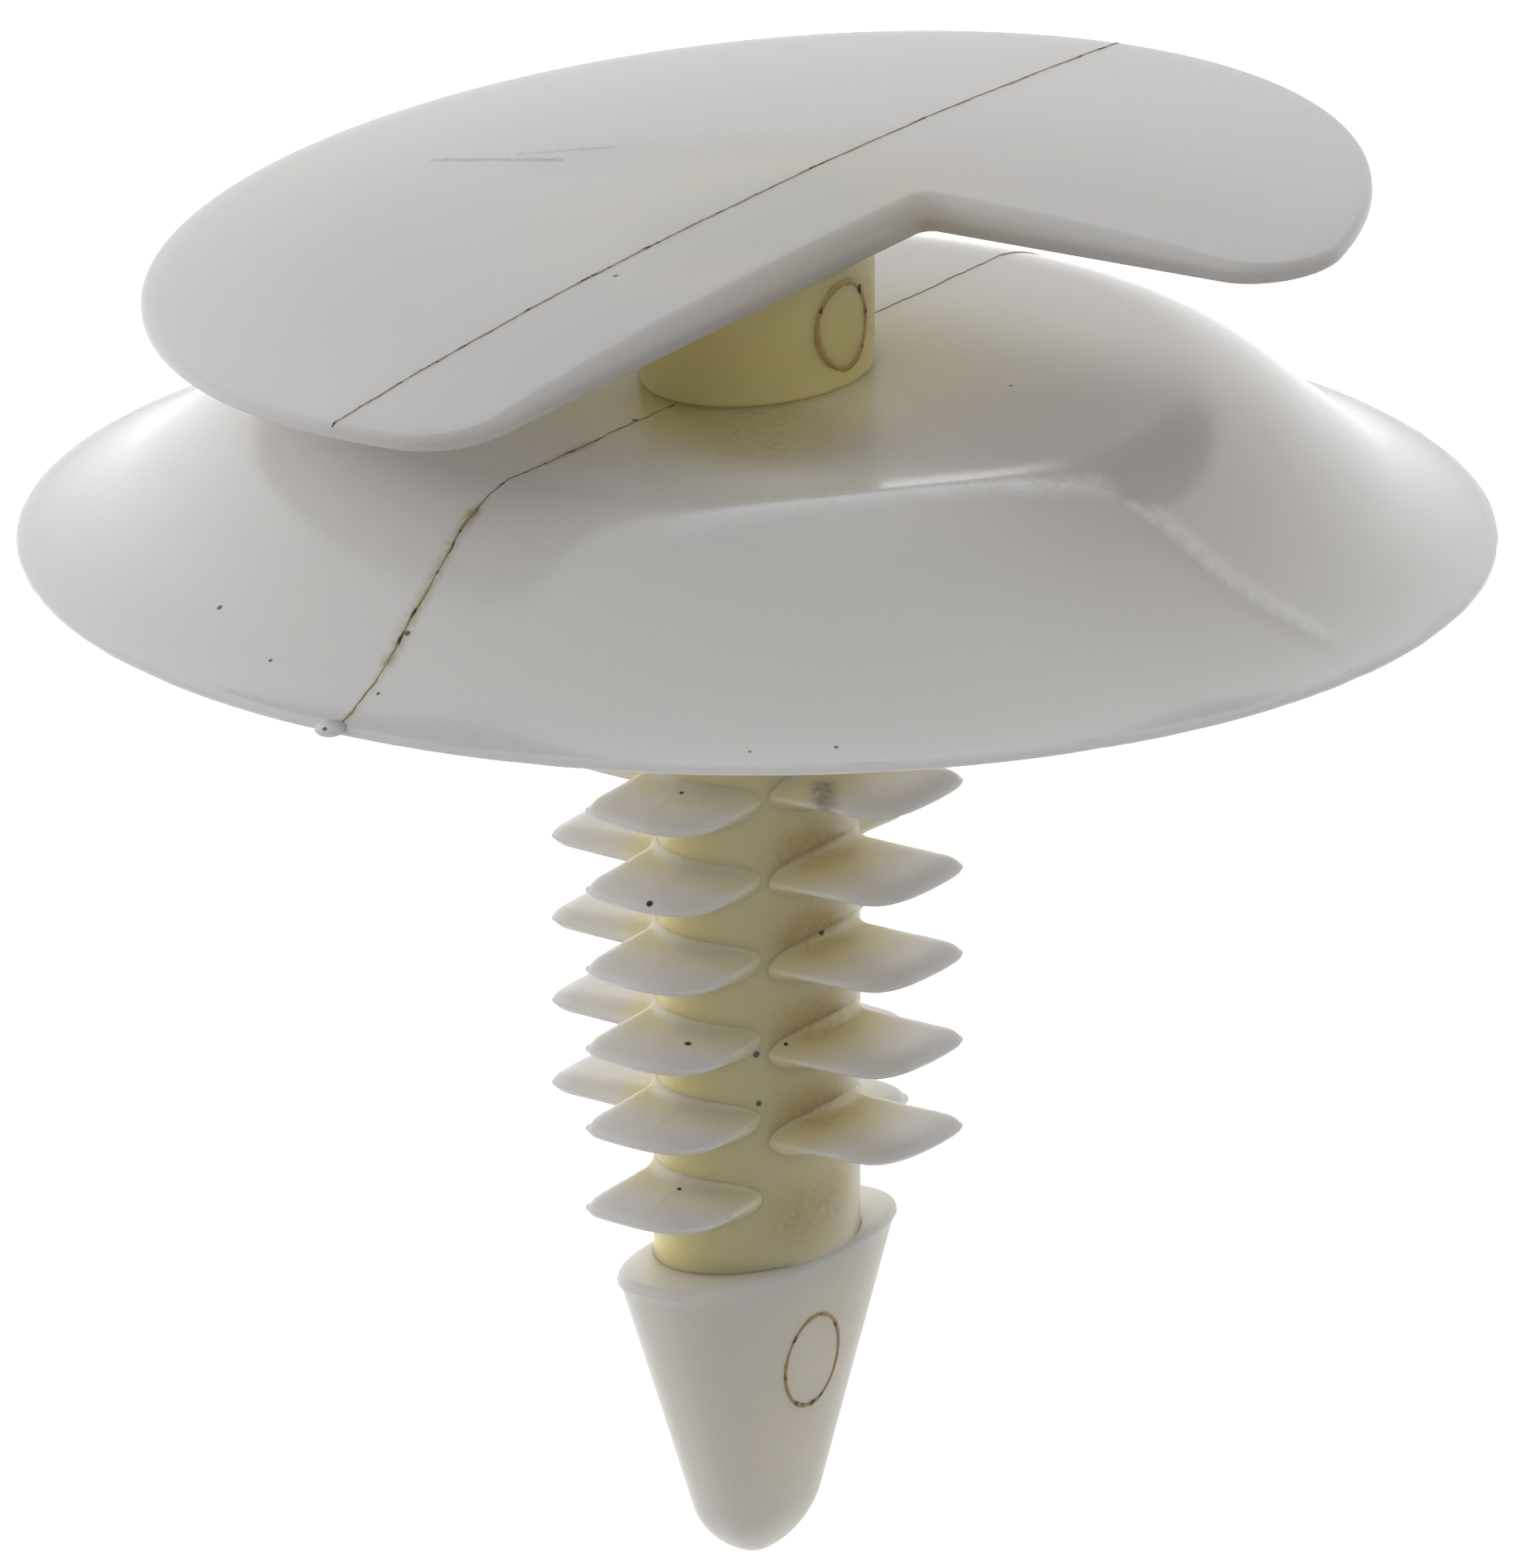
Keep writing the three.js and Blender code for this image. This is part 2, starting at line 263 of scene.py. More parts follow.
def mixed(tree, factor, first, second):
    """One colour at factor 0, another at factor 1."""
    node = node_of(tree, "ShaderNodeMix", data_type="RGBA")
    sockets = (node.inputs[0], node.inputs[6], node.inputs[7])
    for socket, value in zip(sockets, (factor, first, second)):
        if isinstance(value, float):
            socket.default_value = value
        elif isinstance(value, tuple):
            socket.default_value = (*value, 1.0)
        else:
            tree.links.new(value, socket)
    return node.outputs[2]


def noise(tree, place, scale, detail):
    """Cloudy noise from 0 to 1, with scale waves in a millimetre."""
    node = node_of(tree, "ShaderNodeTexNoise")
    tree.links.new(place, node.inputs["Vector"])
    node.inputs["Scale"].default_value = scale
    node.inputs["Detail"].default_value = detail
    return node.outputs["Fac"]


WHITE_NYLON = (0.865, 0.835, 0.825)
AMBER_NYLON = (0.93, 0.81, 0.36)
# brown painted shade between the right fins, on the core and at the fin roots
PAINTED_SHADE_BROWN = (0.58, 0.44, 0.19)
DUST = (0.45, 0.42, 0.36)
SHADE = (0.46, 0.44, 0.45)
STAIN = (0.30, 0.22, 0.09)
# painted reflection of the neck on the crown in front of its foot
PAINTED_NECK_REFLECTION = (0.42, 0.36, 0.2)
GRIME = (0.025, 0.02, 0.015)
SCUFF = (0.30, 0.29, 0.27)
SMUDGE = (0.14, 0.15, 0.16)
PAINTED_CREASE_HIGHLIGHT = (0.98, 0.97, 0.96)       # painted highlight along the creases
DULL_NYLON = 0.36                   # roughness
SHINY_NYLON = 0.21
THIN_SCATTER = 1.6                  # how far light wanders in the nylon, mm
FIN_SCATTER = 0.8
THICK_SCATTER = 0.6
NYLON_IOR = 1.53
NYLON_SPREAD = (1.0, 0.95, 0.8)     # share of that distance for red, green and blue


def distance_to(tree, place, point):
    """How far a place is from a point."""
    node = node_of(tree, "ShaderNodeVectorMath", operation="DISTANCE")
    tree.links.new(place, node.inputs[0])
    node.inputs[1].default_value = point
    return node.outputs["Value"]


def distance_to_segment(tree, place, start, end):
    """How far a place is from the straight line between two points."""
    along = Vector(end) - Vector(start)
    offset = node_of(tree, "ShaderNodeVectorMath", operation="SUBTRACT")
    tree.links.new(place, offset.inputs[0])
    offset.inputs[1].default_value = start
    dot = node_of(tree, "ShaderNodeVectorMath", operation="DOT_PRODUCT")
    tree.links.new(offset.outputs[0], dot.inputs[0])
    dot.inputs[1].default_value = along / along.length_squared
    share = math_node(tree, "ADD", dot.outputs["Value"], 0.0, clamp=True)
    foot = node_of(tree, "ShaderNodeVectorMath", operation="SCALE")
    foot.inputs[0].default_value = along
    tree.links.new(share, foot.inputs["Scale"])
    gap = node_of(tree, "ShaderNodeVectorMath", operation="DISTANCE")
    tree.links.new(offset.outputs[0], gap.inputs[0])
    tree.links.new(foot.outputs[0], gap.inputs[1])
    return gap.outputs["Value"]


def new_material(name):
    """A material, its node tree, its shader and the place on the unbent part in mm."""
    material = bpy.data.materials.new(name)
    material.use_nodes = True
    tree = material.node_tree
    place = node_of(tree, "ShaderNodeAttribute", attribute_name="place").outputs["Vector"]
    return material, tree, tree.nodes["Principled BSDF"], place


def nylon_colour(tree, place, parts, grain, amber, shade):
    """White to amber with faint clouds and dust, and painted shade where shade says so."""
    cloud = math_node(tree, "SUBTRACT", noise(tree, place, 0.55, 3.0), 0.5)
    cloud = math_node(tree, "MULTIPLY", cloud, 0.16)
    deep = math_node(tree, "ADD", amber(tree, place, parts), cloud, clamp=True)
    colour = mixed(tree, deep, WHITE_NYLON, AMBER_NYLON)
    colour = mixed(tree, math_node(tree, "MULTIPLY", grain, 0.06), colour, DUST)
    if shade:
        colour = mixed(tree, shade(tree, place, parts), colour, SHADE)
    return colour


def marked(tree, place, grain, colour, scuffs_and_painted_light, specks):
    """A colour with specks, and scuff, stain and smudge marks, painted shade, painted reflections
    and painted highlights laid over it.
    """
    for start, end, radius, depth, tone in scuffs_and_painted_light:
        near = fade(tree, distance_to_segment(tree, place, start, end), 0.0, radius)
        # each mark is a scuff, stain or smudge, or painted shade, reflection or highlight
        wear_and_painted_light = math_node(tree, "MULTIPLY", near, math_node(tree, "MULTIPLY", grain, 2 * depth))
        colour = mixed(tree, wear_and_painted_light, colour, tone)
    for point, radius in specks:
        spot = fade(tree, distance_to(tree, place, point), radius * 0.5, radius)
        colour = mixed(tree, spot, colour, GRIME)
    return colour


def add_relief(tree, place, shader):
    """The fine unevenness of a moulded surface."""
    bump = node_of(tree, "ShaderNodeBump")
    bump.inputs["Strength"].default_value = 0.12
    bump.inputs["Distance"].default_value = 0.02 * MM
    tree.links.new(noise(tree, place, 5.0, 4.0), bump.inputs["Height"])
    tree.links.new(bump.outputs["Normal"], shader.inputs["Normal"])


def nylon(name, amber, specks=(), scuffs_and_painted_light=(), shade=None, roughness=DULL_NYLON,
          scatter=THIN_SCATTER, flow=1.0, gloss=0.5):
    """Natural nylon. amber(tree, place, parts) gives how deep its amber is at a place (on the
    umbrella it also carries a painted reflection of the neck), and shade in the same way where
    painted shade greys it. Specks are (point, radius) pairs of embedded black grit, and the next
    list holds (start, end, radius, depth, colour): scuff, stain and smudge marks, and also painted
    shade, reflections and highlights. flow is how much light it carries, as a number or as a
    function like amber."""
    material, tree, shader, place = new_material(name)
    split = node_of(tree, "ShaderNodeSeparateXYZ")
    tree.links.new(place, split.inputs[0])
    parts = split.outputs
    grain = noise(tree, place, 9.0, 3.0)
    colour = nylon_colour(tree, place, parts, grain, amber, shade)
    colour = marked(tree, place, grain, colour, scuffs_and_painted_light, specks)
    tree.links.new(colour, shader.inputs["Base Color"])
    shine = math_node(tree, "MULTIPLY_ADD", grain, 0.16, roughness - 0.08)
    tree.links.new(shine, shader.inputs["Roughness"])
    if callable(flow):
        tree.links.new(flow(tree, place, parts), shader.inputs["Subsurface Weight"])
    else:
        shader.inputs["Subsurface Weight"].default_value = flow
    shader.inputs["Subsurface Radius"].default_value = NYLON_SPREAD
    shader.inputs["Subsurface Scale"].default_value = scatter * MM
    shader.inputs["IOR"].default_value = NYLON_IOR
    shader.inputs["Specular IOR Level"].default_value = gloss
    add_relief(tree, place, shader)
    return material


def dirt(name, stained, gritty):
    """Stain and grit caught along a parting line or a pin mark, in broken dots."""
    material, tree, shader, place = new_material(name)
    broken = fade(tree, noise(tree, place, 2.6, 3.0), 0.6 - gritty, 0.54 - gritty)
    tone = mixed(tree, noise(tree, place, 3.0, 2.0), STAIN, stained)
    tree.links.new(mixed(tree, broken, tone, GRIME), shader.inputs["Base Color"])
    tree.links.new(math_node(tree, "MULTIPLY_ADD", broken, 0.2, 0.5), shader.inputs["Roughness"])
    return material


def along(tree, place, direction, origin):
    """How far a place lies past an origin in a direction."""
    node = node_of(tree, "ShaderNodeVectorMath", operation="DOT_PRODUCT")
    tree.links.new(place, node.inputs[0])
    node.inputs[1].default_value = direction
    start = Vector(direction).dot(Vector(origin))
    return math_node(tree, "SUBTRACT", node.outputs["Value"], start)


def by_radius(start, stop, strength):
    """A function like amber, of that strength at the radius start and 0 at the radius stop."""
    def amber(tree, place, parts):
        square_x = math_node(tree, "MULTIPLY", parts[0], parts[0])
        square_y = math_node(tree, "MULTIPLY", parts[1], parts[1])
        radius = math_node(tree, "SQRT", math_node(tree, "ADD", square_x, square_y))
        return math_node(tree, "MULTIPLY", fade(tree, radius, start, stop), strength)
    return amber


ALL_AMBER = by_radius(6.0, 9.0, 1.0)


# ---------------------------------------------------------------- head
lean_axis = Vector((math.sin(HEAD_RISES_TOWARDS), -math.cos(HEAD_RISES_TOWARDS), 0))
head_matrix = (Matrix.Translation((0, 0, HEAD_UNDERSIDE_Z))
               @ Matrix.Rotation(HEAD_LEAN, 4, lean_axis)
               @ Matrix.Rotation(HEAD_TWIST, 4, "Z"))


def to_head(points):
    """Places on the part from places in the head's own frame."""
    turn = np.array(head_matrix)
    return np.asarray(points, float) @ turn[:3, :3].T + turn[:3, 3]


def head_top(x, y):
    """Height of the slightly crowned top over the flat underside, in the head's own frame."""
    crown = HEAD_RIM_THICKNESS + HEAD_CROWN_RISE * (1 - (x * x + y * y) / HEAD_RADIUS ** 2)
    sink_mark = 0.02 * np.exp(-(x * x + y * y) / 3.0 ** 2)
    return crown - (HEAD_CLEARANCE + sink_mark)


def head_outline():
    """Plan outline of the head, counter-clockwise from the end of the notch's side."""
    inner = HEAD_RADIUS - NOTCH_FILLET
    front_x = NOTCH_X - NOTCH_FILLET
    front_y = -math.sqrt(inner ** 2 - front_x ** 2)
    side_y = NOTCH_Y + NOTCH_FILLET
    side_x = math.sqrt(inner ** 2 - side_y ** 2)
    front_angle = math.atan2(front_y, front_x)
    side_angle = math.atan2(side_y, side_x)
    corner = (NOTCH_X + NOTCH_CORNER, NOTCH_Y - NOTCH_CORNER)
    pieces = [
        line((NOTCH_X, front_y), (NOTCH_X, corner[1])),
        arc(corner, NOTCH_CORNER, math.pi, math.pi / 2, 0.04),
        line((corner[0], NOTCH_Y), (side_x, NOTCH_Y)),
        arc((side_x, side_y), NOTCH_FILLET, -math.pi / 2, side_angle),
        arc((0, 0), HEAD_RADIUS, side_angle, front_angle + 2 * math.pi, 0.16),
        arc((front_x, front_y), NOTCH_FILLET, front_angle, 0),
    ]
    return np.concatenate([piece[:-1] for piece in pieces])


def outward(outline):
    """Unit normals of a counter-clockwise outline."""
    along = np.roll(outline, -1, 0) - np.roll(outline, 1, 0)
    normals = np.stack([along[:, 1], -along[:, 0]], 1)
    return normals / np.linalg.norm(normals, axis=1)[:, None]


def head_rings(outline):
    """Closed rings from the middle of the underside, round the edge, to the middle of the top."""
    normals = outward(outline)
    flat = np.zeros(len(outline))
    thickness = head_top(outline[:, 0], outline[:, 1])
    top_round = np.minimum(0.42 * thickness, HEAD_TOP_ROUND)[:, None]
    shares = np.linspace(0.06, 1, 18) ** 0.8
    rings = []

    def add_ring(plan, drop):
        rings.append(np.column_stack([plan, head_top(plan[:, 0], plan[:, 1]) - drop]))

    for share in shares[:-1]:
        plan = HEAD_HEART + (outline - normals * HEAD_LOW_ROUND - HEAD_HEART) * share
        rings.append(np.column_stack([plan, flat]))
    for angle in np.linspace(0, math.pi / 2, 5):
        plan = outline - normals * (HEAD_LOW_ROUND * (1 - math.sin(angle)))
        rings.append(np.column_stack([plan, flat + HEAD_LOW_ROUND * (1 - math.cos(angle))]))
    for angle in np.linspace(0, math.pi / 2, 8):
        inset = top_round * (1 - math.cos(angle))
        add_ring(outline - normals * inset, top_round[:, 0] * (1 - math.sin(angle)))
    inner = outline - normals * top_round
    for share in shares[::-1][1:]:
        add_ring(HEAD_HEART + (inner - HEAD_HEART) * share, 0)
    return rings


def on_head(x, y):
    """The place on top of the head over a place in its own frame."""
    return tuple(to_head([(x, y, head_top(x, y))])[0])


def head_shade(tree, place, parts):
    """Painted shade: darker right of the parting line, except at the back, and along the low edge.
    """
    origin = (0, 0, HEAD_UNDERSIDE_Z)
    x_axis, y_axis, z_axis = (tuple(head_matrix.col[k][:3]) for k in range(3))
    right = fade(tree, along(tree, place, x_axis, origin), 1.2, -1.6)
    not_back = fade(tree, along(tree, place, y_axis, origin), 2.5, 7.5)
    low_edge = fade(tree, along(tree, place, z_axis, origin), 0.14, 0.36)
    right = math_node(tree, "MULTIPLY", right, math_node(tree, "MULTIPLY", not_back, 0.28))
    return math_node(tree, "MULTIPLY_ADD", low_edge, 0.45, right, clamp=True)


def head():
    """The leaning, notched head, with its scuff marks, a speck and painted shade."""
    rings = head_rings(head_outline())
    points, faces = loft(rings, (*HEAD_HEART, 0), (*HEAD_HEART, head_top(*HEAD_HEART)))
    specks = [(on_head(-0.2, -3.38), 0.06)]
    scuffs_and_painted_light = [(on_head(-7.3, 0.3), on_head(-5.1, 0.95), 0.16, 0.5, SCUFF),
              (on_head(-6.0, 1.0), on_head(-4.7, 1.8), 0.14, 0.35, SCUFF),
              (on_head(-5.0, 1.0), on_head(-1.0, 3.4), 1.5, 0.12, SCUFF)]
    material = nylon("nylon_head", by_radius(1.5, 5.0, 0.2), specks, scuffs_and_painted_light, head_shade,
                     gloss=0.35)
    piece = add_piece("head", to_head(points), faces, material)
    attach(piece, "moulding")
    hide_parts("head_plate")


def head_seam():
    """The parting line over the head, in a fine ragged flash with grit in it."""
    reach = math.sqrt(HEAD_RADIUS ** 2 - HEAD_SEAM_X ** 2)
    bend = 0.13                     # radius of the stretch that follows the rounded edge
    y = np.linspace(-reach + 0.02, reach - 0.02, 520)
    x = HEAD_SEAM_X + 0.02 * wander(y, 3, 2.0)
    past = 1 - np.minimum(reach - np.abs(y), bend) / bend
    z = head_top(x, y) - bend * (1 - np.sqrt(np.clip(1 - past ** 2, 0, 1)))
    path = to_head(np.column_stack([x, y, z]))
    normals = np.tile(np.array(head_matrix)[:3, 2], (len(path), 1))
    width = 0.03 + 0.02 * np.clip(wander(y, 5, 5.0), -0.8, 1.5)
    material = dirt("grit_head", (0.42, 0.38, 0.3), 0.0)
    piece = bead("head_parting_line", path, normals, width, FLASH_HEIGHT, FLASH_SINK, material)
    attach(piece, "moulding")


# ---------------------------------------------------------------- neck and stem core
def oval_ring(half, z, spread):
    """A ring of oval section. z is its height, or a function of x and y that gives it."""
    steps = 96
    angles = np.linspace(0, 2 * math.pi, steps, endpoint=False)
    cos, sin = np.cos(angles), np.sin(angles)
    heights = z(half[0] * cos, half[1] * sin) if callable(z) else z
    x, y = (half[0] + spread) * cos, (half[1] + spread) * sin
    return np.column_stack([x, y, np.broadcast_to(heights, steps)])


def fillet(distance, radius):
    """How far a fillet stands out at a distance from the corner that it fills."""
    near = np.clip(radius - np.maximum(distance, 0), 0, radius)
    return radius - np.sqrt(radius ** 2 - near ** 2)


def under_head(x, y):
    """Height of the head's underside."""
    uphill = x * math.cos(HEAD_RISES_TOWARDS) + y * math.sin(HEAD_RISES_TOWARDS)
    return HEAD_UNDERSIDE_Z + math.tan(HEAD_LEAN) * uphill


def neck_flow(tree, place, parts):
    """The neck carries no light in its foot, where it stands in the crown."""
    return fade(tree, parts[2], CROWN_TOP_Z + 0.7, CROWN_TOP_Z)


def neck_ring(share):
    """A ring of the neck at a share of the way from the crown to the leaning head."""
    def height(x, y):
        return CROWN_TOP_Z + (under_head(x, y) - CROWN_TOP_Z) * share

    below_head = (1 - share) * (HEAD_UNDERSIDE_Z - CROWN_TOP_Z)
    return oval_ring(NECK_HALF, height, fillet(below_head, NECK_FILLET))


def neck():
    """The oval post between the umbrella's crown and the head."""
    rings = [neck_ring(share) for share in np.linspace(-0.01, 1.01, 28)]
    ends = (0, 0, CROWN_TOP_Z - OVERLAP), (0, 0, HEAD_UNDERSIDE_Z + OVERLAP)
    points, faces = loft(rings, *ends)
    material = nylon("nylon_neck", ALL_AMBER, scatter=THICK_SCATTER, flow=neck_flow)
    piece = add_piece("neck_post", points, faces, material)
    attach(piece, "moulding")
    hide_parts("neck")


def core_shade(tree, place, parts):
    """The core is duller on its +X side, away from the light."""
    return math_node(tree, "MULTIPLY", fade(tree, parts[0], 1.4, -0.6), 0.4)


def stem_core():
    """The oval core that carries the fins, with brown painted shade between the right ones."""
    top, bottom = CORE_TOP_Z + OVERLAP, LEDGE_Z - 0.01
    heights = np.concatenate([np.linspace(top, 2.0, 10), np.linspace(1.9, LEDGE_Z + 0.5, 60),
                              np.linspace(LEDGE_Z + 0.45, bottom, 12)])
    rings = []
    for z in heights:
        fillets = fillet(CORE_TOP_Z - z, CORE_FILLET) + fillet(z - LEDGE_Z, 0.03)
        rings.append(oval_ring(CORE_HALF, z, fillets + 0.006 * math.sin(3 * z)))
    points, faces = loft(rings, (0, 0, top), (0, 0, bottom))
    grit = [((1.05, -1.56, -8.52), 0.08), ((1.07, -1.52, -9.4), 0.07)]
    # brown painted shade in the gaps between the right fins
    stains_and_painted_light = [((1.5, 0.1, z), (1.35, -0.8, z - 0.15), 0.95, 0.7, PAINTED_SHADE_BROWN)
              for z in (-5.0, -6.5, -8.2, -9.7, -11.4)]
    piece = add_piece("stem", points, faces, nylon(
        "nylon_core", ALL_AMBER, grit, stains_and_painted_light, core_shade, scatter=THICK_SCATTER, flow=0.7))
    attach(piece, "moulding")
    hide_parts("stem_core")


# ---------------------------------------------------------------- umbrella
def umbrella_top(r):
    """Height of the umbrella's outer surface at a radius."""
    r = np.asarray(r, float)
    shoulder = (r - SHOULDER_START) / (SHOULDER_END - SHOULDER_START)
    cone = (r - SHOULDER_END) / (SKIRT_MIDDLE_R - SHOULDER_END)
    flare = np.clip((RIM_RADIUS - r) / (RIM_RADIUS - SKIRT_MIDDLE_R), 0, 1)
    return np.select(
        [r <= SHOULDER_START, r <= SHOULDER_END, r <= SKIRT_MIDDLE_R],
        [np.full_like(r, CROWN_TOP_Z),
         CROWN_TOP_Z - (CROWN_TOP_Z - SHOULDER_Z) * shoulder ** 2,
         SHOULDER_Z + (SKIRT_MIDDLE_Z - SHOULDER_Z) * cone],
        RIM_EDGE + (SKIRT_MIDDLE_Z - RIM_EDGE) * flare ** 1.55)


def umbrella_thickness(r):
    """The crown's thickness, thinning from the shoulder to the rim."""
    thinned = np.clip((r - SHOULDER_START) / (RIM_RADIUS - SHOULDER_START), 0, 1)
    return CROWN_THICKNESS + (RIM_EDGE - CROWN_THICKNESS) * thinned


def smoothed(values, reach):
    """Values averaged with their neighbours up to reach steps away."""
    kernel = np.hanning(2 * reach + 1)
    padded = np.pad(values, reach, mode="edge")
    return np.convolve(padded, kernel / kernel.sum(), mode="valid")


def crease(x, y):
    """Height added to the umbrella's outer surface by the creases."""
    total = np.zeros_like(x)
    for start, end, height, width in CREASES:
        a, b = np.array(start), np.array(end)
        d = b - a
        t = np.clip(((x - a[0]) * d[0] + (y - a[1]) * d[1]) / (d @ d), 0, 1)
        off = np.hypot(x - a[0] - t * d[0], y - a[1] - t * d[1])
        swell = 0.35 + 0.65 * np.sin(math.pi * t) ** 0.7
        total = total + height * np.exp(-(off / width) ** 2) * swell
    return total


def on_umbrella(x, y):
    """The place on the umbrella's outer surface over a point."""
    return (x, y, float(umbrella_top(math.hypot(x, y))))


def crease_highlights():
    """Painted highlights along the creases."""
    marks = []
    for start, end, _, width in CREASES:
        path = np.array(start) + np.outer(np.linspace(0.06, 0.94, 6), np.subtract(end, start))
        places = [on_umbrella(x, y) for x, y in path]
        for here, there in zip(places, places[1:]):
            marks.append((here, there, 0.9 * width, 0.6, PAINTED_CREASE_HIGHLIGHT))
    return marks


def umbrella_shade(tree, place, parts):
    """Painted shade on the umbrella's right flank, and the neck's painted reflection before its
    foot.
    """
    # painted shade: darker towards the right flank
    flank = fade(tree, distance_to(tree, place, (8.0, 0.5, 2.0)), 2.0, 7.0)
    # painted reflection of the dark neck on the crown in front of its foot
    start, end = on_umbrella(0.8, -2.0), on_umbrella(2.9, -2.9)
    foot = fade(tree, distance_to_segment(tree, place, start, end), 0.4, 2.4)
    foot = math_node(tree, "MULTIPLY", foot, 0.45)
    return math_node(tree, "MULTIPLY_ADD", flank, 0.55, foot, clamp=True)


def umbrella_amber_and_painted_reflection(tree, place, parts):
    """Yellow round the neck, and a yellow painted reflection of the neck in front of its foot."""
    # painted reflection of the neck, yellow, in front of its foot
    start, end = on_umbrella(0.6, -2.2), on_umbrella(2.1, -2.6)
    foot = fade(tree, distance_to_segment(tree, place, start, end), 0.2, 1.9)
    around = by_radius(2.4, 7.0, 0.45)(tree, place, parts)
    return math_node(tree, "MULTIPLY_ADD", foot, 0.5, around, clamp=True)


def umbrella_marks():
    """Grit all over, stain along the parting line, the neck's painted reflection, painted crease
    highlights.
    """
    grit = [(-3.95, -10.17, 0.07), (-2.2, -11.2, 0.05), (0.07, -10.45, 0.07), (0.2, -11.5, 0.05),
            (4.1, 1.57, 0.05), (7.77, -9.02, 0.05), (6.67, -9.96, 0.04), (-0.06, -3.53, 0.08)]
    specks = [(on_umbrella(x, y), radius) for x, y, radius in grit]
    stains_and_painted_light = [((0, -5.0, 3.08), (0, -8.4, 2.75), 0.2, 0.35, STAIN),
              ((0, -8.4, 2.75), (0, -10.9, 0.9), 0.24, 0.5, STAIN),
              ((0, -10.9, 0.9), (0, -12.5, 0.14), 0.2, 0.5, STAIN),
              # painted reflection of the neck, darker and browner, in front of its foot
              (on_umbrella(0.9, -1.4), on_umbrella(2.4, -3.5), 2.1, 0.42, PAINTED_NECK_REFLECTION)]
    return specks, stains_and_painted_light + crease_highlights()


def umbrella_rings():
    """Closed rings from the middle of the inside, round the rim, to the middle of the outside."""
    steps = 384
    angles = np.linspace(0, 2 * math.pi, steps, endpoint=False)
    cos, sin = np.cos(angles), np.sin(angles)
    radii = np.concatenate([np.linspace(0.4, SHOULDER_START - 0.4, 22),
                            np.linspace(SHOULDER_START - 0.3, RIM_RADIUS - 0.08, 52)])
    fine = np.linspace(0, RIM_RADIUS, 1001)
    top_profile = smoothed(umbrella_top(fine), 22)
    low_profile = top_profile - umbrella_thickness(fine)
    rings = []
    for r in radii:
        z = max(np.interp(r, fine, low_profile), 0.0)
        rings.append(np.column_stack([r * cos, r * sin, np.full(steps, z)]))
    edge = RIM_RADIUS + np.minimum(0.03 * wander(angles * RIM_RADIUS, 11, 1.5), 0.0)
    for angle in np.linspace(0, math.pi, 7):
        r = edge - RIM_ROUND * (1 - math.sin(angle))
        lift = RIM_EDGE - 2 * RIM_ROUND if angle > math.pi / 2 else 0.0
        z = RIM_ROUND * (1 - math.cos(angle)) + lift
        rings.append(np.column_stack([r * cos, r * sin, np.full(steps, z)]))
    for r in radii[::-1]:
        x, y = r * cos, r * sin
        rings.append(np.column_stack([x, y, np.interp(r, fine, top_profile) + crease(x, y)]))
    return rings, low_profile[0], top_profile[0]


def umbrella():
    """Crown, skirt and rim in one skin that bends from the crown to the rim."""
    rings, low_z, top_z = umbrella_rings()
    points, faces = loft(rings, (0, 0, low_z), (0, 0, top_z))
    specks, stains_and_painted_light = umbrella_marks()
    piece = add_piece("umbrella", points, faces, nylon(
        "nylon_umbrella", umbrella_amber_and_painted_reflection, specks, stains_and_painted_light, umbrella_shade, SHINY_NYLON))
    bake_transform(piece)
    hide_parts("umbrella_crown", "umbrella_skirt", "umbrella_rim")


def umbrella_seam(name, side, seed, stained, gritty, size):
    """The parting line from the neck down to the rim, on the side of y that side gives."""
    distance = np.linspace(NECK_HALF[1] + 0.1, RIM_RADIUS - 0.02, 420)
    x = 0.035 * wander(distance, seed, 2.0)
    z = umbrella_top(distance) - 0.004
    slope = np.gradient(z, distance)
    path = np.column_stack([x, side * distance, z])
    normals = np.column_stack([np.zeros_like(x), -slope * side, np.ones_like(x)])
    normals /= np.linalg.norm(normals, axis=1)[:, None]
    ragged = np.clip(wander(distance, seed + 1, 4.0), -0.9, 1.6)
    finer_inside = np.interp(distance, [2.4, 7.5, 8.5], [0.4, 0.6, 1.0])
    width = size * (1 + 0.8 * ragged) * finer_inside
    material = dirt("grit_" + name, stained, gritty)
    piece = bead(name, path, normals, width, 0.02, FLASH_SINK, material)
    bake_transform(piece)


def rim_grime(name, start, stop, size):
    """Dirt caught on the ragged edge of the rim, between two angles in degrees."""
    angles = np.radians(np.linspace(start, stop, 90))
    cos, sin = np.cos(angles), np.sin(angles)
    arc_length = angles * RIM_RADIUS
    radius = RIM_RADIUS - 0.035
    height = 0.09 + 0.02 * wander(arc_length, 17, 6.0)
    path = np.column_stack([radius * cos, radius * sin, height])
    normals = np.column_stack([cos, sin, np.full_like(angles, 0.6)])
    normals /= np.linalg.norm(normals, axis=1)[:, None]
    width = size * np.clip(0.6 + 0.9 * wander(arc_length, 23, 7.0), 0.05, 1.6)
    material = dirt("grit_" + name, (0.2, 0.17, 0.1), 0.12)
    piece = bead(name, path, normals, width, 0.01, 0.02, material)
    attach(piece, "rim")


